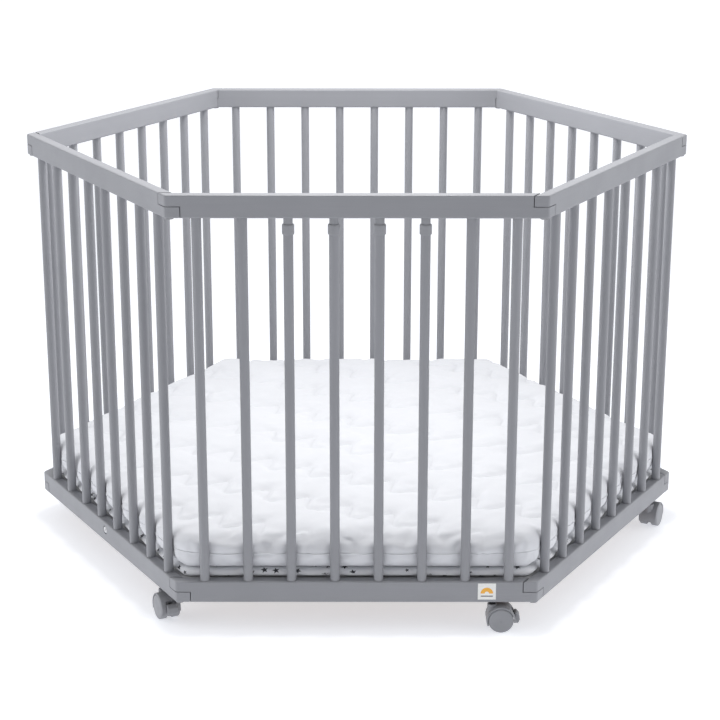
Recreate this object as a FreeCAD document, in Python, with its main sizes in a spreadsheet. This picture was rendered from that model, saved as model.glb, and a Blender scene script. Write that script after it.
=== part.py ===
"""A six-sided wooden playpen on castors, with a quilted mattress on a thin play mat.

Millimetres, +Z up. The origin is on the floor, under the middle of the pen, and the
front side faces -Y. Every side is the front side turned about Z, so each piece of a
side is drawn in the front side's place and then turned to its own.
"""
import FreeCAD, Part
import math
import os

import Sketcher
from FreeCAD import Placement, Rotation, Vector

DRIVING_DIMENSIONS = [
    # rails
    ("side_length", 600), ("rail_thickness", 20), ("rail_height", 37),
    ("frame_height", 690), ("rail_edge_radius", 2.5), ("corner_radius", 6),
    ("end_gap", 1.6), ("lap_gap", 1.2),
    # bars
    ("bar_diameter", 16), ("bar_pitch", 72), ("bars_per_side", 8),
    ("bar_hole_diameter", 16.1), ("bar_hole_depth", 10),
    # slip bars and their sprung caps
    ("cap_collar_diameter", 19.6), ("cap_collar_height", 17),
    ("cap_neck_diameter", 14.8), ("cap_neck_height", 10), ("cap_insertion", 8.5),
    ("cap_hole_diameter", 15.2), ("cap_hole_depth", 9), ("cap_bore_diameter", 16.12),
    ("cap_bore_depth", 15), ("cap_spring_bore", 11.4), ("cap_crown", 4),
    ("slip_bar_overlap", 3.5), ("slip_pin_diameter", 6), ("slip_pin_height", 15),
    ("spring_coil_diameter", 9.4), ("spring_wire", 1.1), ("spring_turns", 7),
    # corner fasteners
    ("bolt_diameter", 6), ("bolt_hole_diameter", 6.2), ("bolt_head_diameter", 15),
    ("bolt_head_height", 2.5), ("bolt_length", 30), ("bolt_socket", 4),
    ("insert_diameter", 10), ("insert_length", 12), ("insert_flange_diameter", 14),
    # castors
    ("castor_height", 52), ("castor_inset", 74), ("castor_trail", 14.4),
    ("castor_width", 34), ("wheel_radius", 21), ("wheel_gap", 0.8), ("hood_wall", 2.6),
    ("web_width", 9), ("boss_radius", 8.2), ("boss_bottom", 14), ("boss_top", 46.5),
    ("hood_end", 18), ("axle_diameter", 5), ("stem_diameter", 8),
    ("stem_hole_diameter", 8.1), ("stem_hole_depth", 26), ("stem_collar_diameter", 10),
    ("swivel_diameter", 7), ("swivel_depth", 20), ("running_clearance", 0.05),
    ("brake_pin_diameter", 3), ("brake_width", 18), ("brake_tongue", 5),
    # base
    ("board_thickness", 3), ("board_level", 34), ("board_clearance", 1.5),
    ("batten_height", 16), ("ledge_width", 12), ("beam_width", 40),
    ("beam_bolt_level", 23), ("beam_bolt_head", 12), ("beam_bolt_recess", 2), ("beam_bolt_ring", 1.8),
    ("screw_diameter", 3), ("screw_head_diameter", 6.4), ("screw_length", 22),
    # soft parts
    ("mat_apothem", 496), ("mat_thickness", 17), ("mattress_apothem", 496),
    ("mattress_thickness", 60), ("pad_corner_radius", 24), ("pad_edge_radius", 7),
    ("soft_gap", 0.5),
    # sticker
    ("label_width", 30), ("label_height", 29), ("label_thickness", 0.4),
    ("label_offset", 216), ("label_level", 20),
]

SIDES = ["front", "front_right", "back_right", "back", "back_left", "front_left"]
SIDE_TURN = 60.0
SLIP_BARS = 4
FIXED_BARS_EACH_END = 2
SCREW_INSET = 60.0
# The way each castor trails at rest, in degrees from +X, by the side that it is under.
CASTOR_HEADINGS = {
    "front": 0.0, "front_right": 64.0, "back_right": 118.0,
    "back": 180.0, "back_left": 75.0, "front_left": -64.0,
}

# Expressions used more than once, in the front side's place.
APOTHEM = "(Sizes.side_length * sqrt(3) / 2)"
HALF_SIDE = "(Sizes.side_length / 2)"
SLANT = "(Sizes.rail_thickness / sqrt(3))"
OUTER_Y = f"(-{APOTHEM})"
INNER_Y = f"({OUTER_Y} + Sizes.rail_thickness)"
MIDDLE_Y = f"({OUTER_Y} + Sizes.rail_thickness / 2)"
CUT_OUTER_X = f"({HALF_SIDE} - 2 * (Sizes.rail_thickness + Sizes.end_gap) / sqrt(3))"
CUT_INNER_X = f"({HALF_SIDE} - (Sizes.rail_thickness + 2 * Sizes.end_gap) / sqrt(3))"
CORNER_BOLT_X = f"({HALF_SIDE} - {SLANT} / 2)"
LAP_HEIGHT = "((Sizes.rail_height - Sizes.lap_gap) / 2)"
FIRST_BAR_X = "(-Sizes.bar_pitch * (Sizes.bars_per_side - 1) / 2)"
WHEEL_X = "Sizes.castor_trail"
WHEEL_Z = "Sizes.wheel_radius"
HOOD_BORE = "(Sizes.wheel_radius + Sizes.wheel_gap)"
HOOD_RADIUS = f"({HOOD_BORE} + Sizes.hood_wall)"
BRAKE_PIN_X = f"({WHEEL_X} + 15.5)"
BRAKE_PIN_Z = f"({WHEEL_Z} + 5)"

document = FreeCAD.newDocument("Playpen")
sizes = document.addObject("Spreadsheet::Sheet", "Sizes")
for row, (alias, number) in enumerate(DRIVING_DIMENSIONS, start=1):
    sizes.set(f"A{row}", alias)
    sizes.set(f"B{row}", str(number))
    sizes.setAlias(f"B{row}", alias)
document.recompute()

nodes = []


def value(expression):
    """The number that an expression on the sheet has now."""
    result = sizes.evalExpression(str(expression))
    return float(getattr(result, "Value", result))


def keep(piece):
    """List a finished sub-part for the tests and the files at the end."""
    nodes.append(piece)
    return piece


def side_placement(side, x=0.0, y=0.0, z=0.0):
    """A place on the front side, turned round to another side."""
    turn = Rotation(Vector(0, 0, 1), SIDE_TURN * SIDES.index(side))
    return Placement(turn.multVec(Vector(x, y, z)), turn)


# ---------------------------------------------------------------- sketches and features

def new_body(label, placement=None):
    body = document.addObject("PartDesign::Body", label)
    body.Label = label
    if placement is not None:
        body.Placement = placement
    return body


def new_sketch(body, plane, offset="0"):
    """An empty sketch on one of the body's own origin planes, moved along its normal."""
    sketch = body.newObject("Sketcher::SketchObject", "Sketch")
    origin_plane = [o for o in body.Origin.OriginFeatures if o.Role == plane][0]
    sketch.AttachmentSupport = [(origin_plane, "")]
    sketch.MapMode = "FlatFace"
    sketch.setExpression("AttachmentOffset.Base.z", str(offset))
    return sketch


def fix_point(sketch, edge, end, x, y):
    """Hold a sketch point at two expressions."""
    for kind, expression in (("DistanceX", x), ("DistanceY", y)):
        index = sketch.addConstraint(Sketcher.Constraint(kind, edge, end, value(expression)))
        sketch.setExpression(f"Constraints[{index}]", str(expression))


def polygon(body, plane, points, offset="0"):
    """A closed outline of straight lines through points given as expressions."""
    sketch = new_sketch(body, plane, offset)
    corners = [Vector(value(x), value(y), 0) for x, y in points]
    for index, corner in enumerate(corners):
        following = corners[(index + 1) % len(corners)]
        sketch.addGeometry(Part.LineSegment(corner, following), False)
    for index in range(len(corners)):
        joint = Sketcher.Constraint("Coincident", index, 2, (index + 1) % len(corners), 1)
        sketch.addConstraint(joint)
    for index, (x, y) in enumerate(points):
        fix_point(sketch, index, 1, x, y)
    return sketch


def circles(body, plane, places, diameter, offset="0"):
    """Circles of one diameter at places given as expressions."""
    sketch = new_sketch(body, plane, offset)
    for x, y in places:
        centre = Vector(value(x), value(y), 0)
        circle = Part.Circle(centre, Vector(0, 0, 1), value(diameter) / 2)
        edge = sketch.addGeometry(circle, False)
        fix_point(sketch, edge, 3, x, y)
        index = sketch.addConstraint(Sketcher.Constraint("Diameter", edge, value(diameter)))
        sketch.setExpression(f"Constraints[{index}]", str(diameter))
    return sketch


def pad(body, sketch, length, reverse=False, both_ways=False):
    feature = body.newObject("PartDesign::Pad", "Pad")
    feature.Profile = sketch
    feature.setExpression("Length", str(length))
    feature.Reversed = reverse
    feature.Midplane = both_ways
    body.Tip = feature
    return feature


def pocket(body, sketch, length, reverse=False, both_ways=False):
    """Cut a sketch into the body, and stop if nothing was cut."""
    document.recompute()
    before = body.Shape.Volume
    feature = body.newObject("PartDesign::Pocket", "Pocket")
    feature.Profile = sketch
    feature.setExpression("Length", str(length))
    feature.Reversed = reverse
    feature.Midplane = both_ways
    body.Tip = feature
    document.recompute()
    if body.Shape.Volume > before - 0.1:
        raise RuntimeError(f"{body.Label}: a pocket cut nothing")
    return feature


def row_of(body, feature, count, pitch):
    """Repeat a feature along the body's X axis."""
    pattern = body.newObject("PartDesign::LinearPattern", "Row")
    pattern.Originals = [feature]
    axis = [o for o in body.Origin.OriginFeatures if o.Role == "X_Axis"][0]
    pattern.Direction = (axis, [""])
    pattern.setExpression("Length", f"{pitch} * {count - 1}")
    pattern.Occurrences = count
    body.Tip = pattern
    return pattern


def revolve(body, points):
    """Turn an outline in the XZ plane about the body's Z axis."""
    sketch = polygon(body, "XZ_Plane", points)
    feature = body.newObject("PartDesign::Revolution", "Revolution")
    feature.Profile = sketch
    feature.ReferenceAxis = (sketch, ["V_Axis"])
    feature.Angle = 360.0
    body.Tip = feature
    return feature


def round_edges(body, radius, chosen):
    """Fillet the edges of the body's last feature that a test picks."""
    document.recompute()
    tip = body.Tip
    names = [f"Edge{number}" for number, edge in enumerate(tip.Shape.Edges, start=1)
             if chosen(edge)]
    if not names:
        raise RuntimeError(f"{body.Label}: no edge to round")
    feature = body.newObject("PartDesign::Fillet", "Fillet")
    feature.Base = (tip, names)
    feature.setExpression("Radius", str(radius))
    body.Tip = feature
    document.recompute()
    return feature


def cylinder(label, diameter, height, placement=None):
    """A Part cylinder with its sizes bound to the sheet."""
    solid = document.addObject("Part::Cylinder", label)
    solid.setExpression("Radius", f"({diameter}) / 2")
    solid.setExpression("Height", str(height))
    if placement is not None:
        solid.Placement = placement
    return solid


def box(label, length, width, height, placement):
    """A Part box centred on its length and width, with its sizes bound to the sheet."""
    solid = document.addObject("Part::Box", label)
    for name, expression in (("Length", length), ("Width", width), ("Height", height)):
        solid.setExpression(name, str(expression))
    middle = Vector(-value(length) / 2, -value(width) / 2, 0)
    solid.Placement = placement.multiply(Placement(middle, Rotation()))
    return solid


def compound(label, members, placement=None):
    """Separate solids that share one node."""
    group = document.addObject("Part::Compound", label)
    group.Label = label
    group.Links = members
    if placement is not None:
        group.Placement = placement
    return group


def copies(label, master, placements):
    """Like fasteners in one node: the master's shape set down at each place.

    Part has no feature that repeats a body at uneven places, so the shape is set here.
    """
    document.recompute()
    shapes = []
    for placement in placements:
        shape = master.Shape.copy()
        shape.Placement = placement.multiply(shape.Placement)
        shapes.append(shape)
    group = document.addObject("Part::Feature", label)
    group.Label = label
    group.Shape = Part.makeCompound(shapes)
    return group


# ------------------------------------------------------------------------------- rails

def on_long_edge(edge, level):
    """True for an edge of a rail's top or bottom rim, but not of a cut-back end."""
    height = edge.CenterOfMass.z
    flat = abs(edge.BoundBox.ZLength) < 0.01 and abs(height - level) < 0.01
    if not flat:
        return False
    middle = edge.CenterOfMass
    sign = 1 if level > value(LAP_HEIGHT) else -1
    cut_x = sign * (value(CUT_OUTER_X) + value(CUT_INNER_X)) / 2
    return abs(middle.x - cut_x) > 3.0 or edge.Length > 40


def rail(label, side, level, rows, from_top, socket):
    """A rail with a half lap at each end: the upper half runs through on the left and
    the lower half on the right, seen from outside. Rows are (first bar, number of
    holes, hole diameter, hole depth), and socket adds a castor's hole underneath."""
    body = new_body(label, side_placement(side, z=value(level)))
    board = [
        (f"-{CUT_OUTER_X}", OUTER_Y), (CUT_OUTER_X, OUTER_Y),
        (CUT_INNER_X, INNER_Y), (f"-{CUT_INNER_X}", INNER_Y),
    ]
    left_tongue = [
        (f"-{HALF_SIDE}", OUTER_Y), (f"-{CUT_OUTER_X}", OUTER_Y),
        (f"-{CUT_INNER_X}", INNER_Y), (f"-{HALF_SIDE} - {SLANT}", INNER_Y),
    ]
    right_tongue = [
        (CUT_OUTER_X, OUTER_Y), (HALF_SIDE, OUTER_Y),
        (f"{HALF_SIDE} + {SLANT}", INNER_Y), (CUT_INNER_X, INNER_Y),
    ]
    pad(body, polygon(body, "XY_Plane", board), "Sizes.rail_height")
    pad(body, polygon(body, "XY_Plane", left_tongue, "Sizes.rail_height"), LAP_HEIGHT, reverse=True)
    pad(body, polygon(body, "XY_Plane", right_tongue), LAP_HEIGHT)

    corner_x = value(HALF_SIDE)
    outer_y = value(OUTER_Y)

    def outer_corner(edge):
        middle = edge.CenterOfMass
        upright = edge.BoundBox.ZLength > 5 and edge.BoundBox.XLength < 0.01
        return upright and abs(abs(middle.x) - corner_x) < 0.1 and abs(middle.y - outer_y) < 0.1

    round_edges(body, "Sizes.corner_radius", outer_corner)
    rims = (0.0, value("Sizes.rail_height"))
    round_edges(body, "Sizes.rail_edge_radius",
                lambda edge: any(on_long_edge(edge, rim) for rim in rims))

    bar_level = "0" if from_top else "Sizes.rail_height"
    for first, count, diameter, depth in rows:
        place = [(f"{FIRST_BAR_X} + {first} * Sizes.bar_pitch", MIDDLE_Y)]
        hole = circles(body, "XY_Plane", place, diameter, bar_level)
        row_of(body, pocket(body, hole, depth, reverse=from_top), count, "Sizes.bar_pitch")

    lap_level = f"{LAP_HEIGHT} + Sizes.lap_gap"
    insert_hole = circles(body, "XY_Plane", [(f"-{CORNER_BOLT_X}", MIDDLE_Y)],
                          "Sizes.insert_diameter", lap_level)
    pocket(body, insert_hole, "Sizes.insert_length", reverse=True)
    bolt_hole = circles(body, "XY_Plane", [(CORNER_BOLT_X, MIDDLE_Y)], "Sizes.bolt_hole_diameter")
    pocket(body, bolt_hole, LAP_HEIGHT, reverse=True)
    if socket:
        place = [(f"{HALF_SIDE} - Sizes.castor_inset", MIDDLE_Y)]
        stem_hole = circles(body, "XY_Plane", place, "Sizes.stem_hole_diameter")
        pocket(body, stem_hole, "Sizes.stem_hole_depth", reverse=True)
    return body


def beam_bolt_hole(body):
    """The stepped hole through a bottom rail for the support beam's bolt."""
    place = [("0", "Sizes.beam_bolt_level")]
    recess = circles(body, "XZ_Plane", place, "Sizes.beam_bolt_head + 2 * Sizes.beam_bolt_ring", APOTHEM)
    pocket(body, recess, "Sizes.beam_bolt_recess")
    hole = circles(body, "XZ_Plane", place, "Sizes.bolt_hole_diameter", APOTHEM)
    pocket(body, hole, "Sizes.rail_thickness + 1")


def make_rails():
    bar_hole = ("Sizes.bar_hole_diameter", "Sizes.bar_hole_depth")
    every_bar = [(0, int(value("Sizes.bars_per_side")), *bar_hole)]
    with_slip_bars = [
        (0, FIXED_BARS_EACH_END, *bar_hole),
        (FIXED_BARS_EACH_END, SLIP_BARS, "Sizes.cap_hole_diameter", "Sizes.cap_hole_depth"),
        (FIXED_BARS_EACH_END + SLIP_BARS, FIXED_BARS_EACH_END, *bar_hole),
    ]
    top_level = "Sizes.castor_height + Sizes.frame_height - Sizes.rail_height"
    for side in SIDES:
        rows = with_slip_bars if side == "front" else every_bar
        keep(rail(f"top_rail_{side}", side, top_level, rows, True, False))
        body = keep(rail(f"bottom_rail_{side}", side, "Sizes.castor_height", every_bar,
                         False, True))
        if side in ("front_left", "back_right"):
            beam_bolt_hole(body)


# -------------------------------------------------------------------------------- bars

def make_bars():
    """Eight upright bars a side, let into both rails. The front has slip bars instead
    of its middle four."""
    bottom = value("Sizes.castor_height + Sizes.rail_height - Sizes.bar_hole_depth")
    length = ("Sizes.frame_height - 2 * Sizes.rail_height + 2 * Sizes.bar_hole_depth")
    count = int(value("Sizes.bars_per_side"))
    slip_places = range(FIXED_BARS_EACH_END, FIXED_BARS_EACH_END + SLIP_BARS)
    for side in SIDES:
        bars = []
        for index in range(count):
            if side == "front" and index in slip_places:
                continue
            x = value(f"{FIRST_BAR_X} + {index} * Sizes.bar_pitch")
            place = side_placement(side, x, value(MIDDLE_Y), bottom)
            bars.append(cylinder("Bar", "Sizes.bar_diameter", length, place))
        keep(compound(f"bars_{side}", bars))


def coil_spring(label, bottom, height, placement):
    """A coil of round wire between two levels, of half rings that each tilt up to the next."""
    half_turns = int(2 * value("Sizes.spring_turns"))
    rise = height / half_turns
    tilt = math.degrees(math.atan2(rise, value("Sizes.spring_coil_diameter")))
    rings = []
    for number in range(half_turns):
        backward = number % 2
        ring = document.addObject("Part::Torus", "HalfTurn")
        ring.setExpression("Radius1", f"Sizes.spring_coil_diameter / 2 / cos({tilt})")
        ring.setExpression("Radius2", "Sizes.spring_wire / 2")
        ring.Angle3 = 180
        slope = Rotation(Vector(0, 1, 0), -tilt if backward else tilt)
        turn = slope.multiply(Rotation(Vector(0, 0, 1), 180 * backward))
        middle = Vector(0, 0, bottom + (number + 0.5) * rise)
        ring.Placement = placement.multiply(Placement(middle, turn))
        rings.append(ring)
    coil = document.addObject("Part::MultiFuse", label)
    coil.Label = label
    coil.Shapes = rings
    return coil


def make_slip_bars():
    """Bars that lift out: each has a cap at its top end that a spring holds up in the
    top rail. Pulled down by its collar, the cap leaves the rail."""
    rail_under = "(Sizes.castor_height + Sizes.frame_height - Sizes.rail_height)"
    collar_top = f"({rail_under} - Sizes.cap_neck_height)"
    collar_bottom = f"({collar_top} - Sizes.cap_collar_height)"
    cap_top = f"({rail_under} + Sizes.cap_insertion)"
    bar_bottom = "(Sizes.castor_height + Sizes.rail_height - Sizes.bar_hole_depth)"
    bar_shoulder = f"({collar_bottom} + Sizes.slip_bar_overlap)"
    pin_top = f"({bar_shoulder} + Sizes.slip_pin_height)"
    spring_seat = f"({cap_top} - Sizes.cap_crown)"
    bore_end = f"({collar_bottom} + Sizes.cap_bore_depth)"
    shoulder = "2.5"
    bar_outline = [
        ("0", bar_bottom), ("Sizes.bar_diameter / 2", bar_bottom),
        ("Sizes.bar_diameter / 2", bar_shoulder), ("Sizes.slip_pin_diameter / 2", bar_shoulder),
        ("Sizes.slip_pin_diameter / 2", pin_top), ("0", pin_top),
    ]
    cap_outline = [
        ("Sizes.cap_bore_diameter / 2", collar_bottom),
        ("Sizes.cap_collar_diameter / 2 - 0.6", collar_bottom),
        ("Sizes.cap_collar_diameter / 2", f"{collar_bottom} + 0.8"),
        ("Sizes.cap_collar_diameter / 2", f"{collar_top} - {shoulder}"),
        ("Sizes.cap_collar_diameter / 2 - 0.7", f"{collar_top} - 0.8"),
        ("Sizes.cap_neck_diameter / 2", collar_top),
        ("Sizes.cap_neck_diameter / 2", f"{cap_top} - 1"),
        ("Sizes.cap_neck_diameter / 2 - 1", cap_top), ("0", cap_top),
        ("0", spring_seat), ("Sizes.cap_spring_bore / 2", spring_seat),
        ("Sizes.cap_spring_bore / 2", bore_end), ("Sizes.cap_bore_diameter / 2", bore_end),
    ]
    wire_room = value("Sizes.spring_wire / 2") + 0.1
    spring_bottom = value(bar_shoulder) + wire_room
    spring_height = value(spring_seat) - wire_room - spring_bottom
    for index in range(SLIP_BARS):
        number = index + 1
        x = value(f"{FIRST_BAR_X} + {FIXED_BARS_EACH_END + index} * Sizes.bar_pitch")
        place = side_placement("front", x, value(MIDDLE_Y))
        bar = keep(new_body(f"slip_bar_{number}", place))
        revolve(bar, bar_outline)
        cap = keep(new_body(f"slip_cap_{number}", place))
        revolve(cap, cap_outline)
        keep(coil_spring(f"slip_spring_{number}", spring_bottom, spring_height, place))


# -------------------------------------------------------------------- corner fasteners

def make_corner_fasteners():
    """A flanged bolt from below and a threaded insert at each corner of both rings."""
    bolt = new_body("CornerBolt")
    reach = "(Sizes.bolt_length - Sizes.bolt_head_height)"
    revolve(bolt, [
        ("0", "-Sizes.bolt_head_height"),
        ("Sizes.bolt_head_diameter / 2 - 0.8", "-Sizes.bolt_head_height"),
        ("Sizes.bolt_head_diameter / 2", "-Sizes.bolt_head_height + 0.8"),
        ("Sizes.bolt_head_diameter / 2", "0"), ("Sizes.bolt_diameter / 2", "0"),
        ("Sizes.bolt_diameter / 2", reach), ("0", reach),
    ])
    socket = new_sketch(bolt, "XY_Plane", "-Sizes.bolt_head_height")
    corner_radius = value("Sizes.bolt_socket / sqrt(3)")
    hexagon = [Vector(corner_radius * math.cos(math.radians(60 * i)),
                      corner_radius * math.sin(math.radians(60 * i)), 0) for i in range(6)]
    for index, corner in enumerate(hexagon):
        socket.addGeometry(Part.LineSegment(corner, hexagon[(index + 1) % 6]), False)
    pocket(bolt, socket, "Sizes.bolt_head_height - 0.5", reverse=True)

    insert = new_body("CornerInsert")
    lap = LAP_HEIGHT
    revolve(insert, [
        ("Sizes.bolt_diameter / 2 + 0.05", lap),
        ("Sizes.insert_flange_diameter / 2", lap),
        ("Sizes.insert_flange_diameter / 2", f"{lap} + Sizes.lap_gap"),
        ("Sizes.insert_diameter / 2", f"{lap} + Sizes.lap_gap"),
        ("Sizes.insert_diameter / 2", f"{lap} + Sizes.lap_gap + Sizes.insert_length"),
        ("Sizes.bolt_diameter / 2 + 0.05", f"{lap} + Sizes.lap_gap + Sizes.insert_length"),
    ])
    places = []
    for level in ("Sizes.castor_height",
                  "Sizes.castor_height + Sizes.frame_height - Sizes.rail_height"):
        for side in SIDES:
            places.append(side_placement(side, value(CORNER_BOLT_X), value(MIDDLE_Y),
                                         value(level)))
    keep(copies("corner_bolts", bolt, places))
    keep(copies("corner_inserts", insert, places))


# ----------------------------------------------------------------------------- castors

def castor_housing(label, placement):
    """The swivelling hood: a curved guard over both wheels, the web between them and
    the boss that turns on the stem, with a slot for the brake lever."""
    body = new_body(label, placement)
    hood = circles(body, "XZ_Plane", [(WHEEL_X, WHEEL_Z)], f"2 * {HOOD_RADIUS}")
    pad(body, hood, "Sizes.castor_width", both_ways=True)
    round_edges(body, "1.6", lambda edge: edge.BoundBox.YLength < 0.01)
    boss = circles(body, "XY_Plane", [("0", "0")], "2 * Sizes.boss_radius", "Sizes.boss_bottom")
    pad(body, boss, "Sizes.boss_top - Sizes.boss_bottom")
    top = value("Sizes.boss_top")
    round_edges(body, "1.6", lambda edge: abs(edge.CenterOfMass.z - top) < 0.01)
    for side, reverse in (("-", False), ("", True)):
        wheel = circles(body, "XZ_Plane", [(WHEEL_X, WHEEL_Z)], f"2 * {HOOD_BORE}",
                        f"{side}Sizes.web_width / 2")
        pocket(body, wheel, "Sizes.castor_width", reverse=reverse)
    below = polygon(body, "XZ_Plane", [
        ("-40", "-10"), ("70", "-10"), ("70", "Sizes.hood_end"),
        (WHEEL_X, "Sizes.hood_end"), (WHEEL_X, "Sizes.boss_bottom - 2"),
        ("-40", "Sizes.boss_bottom - 2"),
    ])
    pocket(body, below, "100", both_ways=True)
    slot = polygon(body, "XZ_Plane", [
        (f"{WHEEL_X} + 11", "Sizes.hood_end - 4"), ("70", "Sizes.hood_end - 4"),
        ("70", f"{WHEEL_Z} + 12"), (f"{WHEEL_X} + 11", f"{WHEEL_Z} + 12"),
    ])
    pocket(body, slot, "Sizes.brake_tongue + 0.8", both_ways=True)
    window = polygon(body, "XZ_Plane", [
        (f"{WHEEL_X} + 19.2", "Sizes.hood_end - 4"), ("70", "Sizes.hood_end - 4"),
        ("70", f"{WHEEL_Z} + 16"), (f"{WHEEL_X} + 13", f"{WHEEL_Z} + 16"),
        (f"{WHEEL_X} + 19.2", f"{WHEEL_Z} + 9"),
    ])
    pocket(body, window, "Sizes.brake_width + 1", both_ways=True)
    axle_hole = circles(body, "XZ_Plane", [(WHEEL_X, WHEEL_Z)],
                        "Sizes.axle_diameter + 2 * Sizes.running_clearance")
    pocket(body, axle_hole, "30", both_ways=True)
    pin_hole = circles(body, "XZ_Plane", [(BRAKE_PIN_X, BRAKE_PIN_Z)],
                       "Sizes.brake_pin_diameter + 2 * Sizes.running_clearance")
    pocket(body, pin_hole, "30", both_ways=True)
    stem_hole = circles(body, "XY_Plane", [("0", "0")],
                        "Sizes.swivel_diameter + 2 * Sizes.running_clearance", "Sizes.boss_top")
    pocket(body, stem_hole, "Sizes.swivel_depth + 1")
    return body


def castor_wheels(label, placement):
    """Two turned wheels pressed on one axle."""
    face = "(Sizes.castor_width / 2 + 0.4)"
    inner = "(Sizes.web_width / 2 + 0.4)"
    wheel = new_body("Wheel")
    revolve(wheel, [
        ("0", f"{inner} + 3"), ("Sizes.axle_diameter / 2", f"{inner} + 3"),
        ("Sizes.axle_diameter / 2", inner), ("Sizes.wheel_radius - 1", inner),
        ("Sizes.wheel_radius", f"{inner} + 1"),
        ("Sizes.wheel_radius", f"{face} - 1.6"), ("Sizes.wheel_radius - 0.5", f"{face} - 0.8"),
        ("Sizes.wheel_radius - 1.6", f"{face} - 0.2"), ("Sizes.wheel_radius - 3.4", face),
        ("0", f"{face} + 0.4"),
    ])
    wheel.Placement = Placement(Vector(0, 0, 0), Rotation(Vector(1, 0, 0), 90))
    other = document.addObject("Part::Mirroring", "OtherWheel")
    other.Source = wheel
    other.Normal = Vector(0, 1, 0)
    axle = cylinder("Axle", "Sizes.axle_diameter", f"2 * ({inner} + 3)")
    axle.Placement = Placement(Vector(0, value(f"{inner} + 3"), 0),
                               Rotation(Vector(1, 0, 0), 90))
    centre = Vector(value(WHEEL_X), 0, value(WHEEL_Z))
    place = placement.multiply(Placement(centre, Rotation()))
    return compound(label, [wheel, other, axle], place)


def castor_brake(label, placement):
    """A foot lever on a cross pin: a wide tread outside the hood and a tongue that
    reaches in through the slot."""
    body = new_body(label, placement)
    tread = polygon(body, "XZ_Plane", [
        (f"{WHEEL_X} + 23.0", f"{WHEEL_Z} + 12"), (f"{WHEEL_X} + 26.5", f"{WHEEL_Z} + 12"),
        (f"{WHEEL_X} + 31", f"{WHEEL_Z} + 7"), (f"{WHEEL_X} + 32", f"{WHEEL_Z} - 1"),
        (f"{WHEEL_X} + 29.5", f"{WHEEL_Z} - 7"), (f"{WHEEL_X} + 24.2", f"{WHEEL_Z} - 7"),
        (f"{WHEEL_X} + 23.0", f"{WHEEL_Z} - 3"),
    ])
    pad(body, tread, "Sizes.brake_width", both_ways=True)
    round_edges(body, "1.8", lambda edge: edge.BoundBox.YLength < 0.01
                or (edge.BoundBox.YLength > 5 and edge.CenterOfMass.x > value(WHEEL_X) + 26))
    tongue = polygon(body, "XZ_Plane", [
        (f"{WHEEL_X} + 13", f"{WHEEL_Z} + 2.5"), (f"{WHEEL_X} + 26", f"{WHEEL_Z} + 0.5"),
        (f"{WHEEL_X} + 26", f"{WHEEL_Z} + 7"), (f"{WHEEL_X} + 13", f"{WHEEL_Z} + 7.5"),
    ])
    pad(body, tongue, "Sizes.brake_tongue", both_ways=True)
    pin = circles(body, "XZ_Plane", [(BRAKE_PIN_X, BRAKE_PIN_Z)], "Sizes.brake_pin_diameter")
    pad(body, pin, "Sizes.web_width", both_ways=True)
    return body


def make_castors():
    """A braked twin-wheel castor near the right-hand end of each bottom rail."""
    stem = new_body("Stem")
    revolve(stem, [
        ("0", "Sizes.boss_top - Sizes.swivel_depth"),
        ("Sizes.swivel_diameter / 2", "Sizes.boss_top - Sizes.swivel_depth"),
        ("Sizes.swivel_diameter / 2", "Sizes.boss_top + 0.3"),
        ("Sizes.stem_collar_diameter / 2", "Sizes.boss_top + 0.3"),
        ("Sizes.stem_collar_diameter / 2", "Sizes.castor_height"),
        ("Sizes.stem_diameter / 2", "Sizes.castor_height"),
        ("Sizes.stem_diameter / 2", "Sizes.castor_height + Sizes.stem_hole_depth - 1"),
        ("0", "Sizes.castor_height + Sizes.stem_hole_depth - 1"),
    ])
    stem_x = value(f"{HALF_SIDE} - Sizes.castor_inset")
    places = []
    for side in SIDES:
        base = side_placement(side, stem_x, value(MIDDLE_Y)).Base
        place = Placement(base, Rotation(Vector(0, 0, 1), CASTOR_HEADINGS[side]))
        places.append(place)
        keep(castor_housing(f"castor_housing_{side}", place))
        keep(castor_wheels(f"castor_wheels_{side}", place))
        keep(castor_brake(f"castor_brake_{side}", place))
    keep(copies("castor_stems", stem, places))


# -------------------------------------------------------------------------------- base

# The support beam runs between the front left and back right sides, so the base is
# drawn with that line along Y and turned by this much.
BEAM_TURN = 60.0 * SIDES.index("back_right") - 180.0


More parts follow.
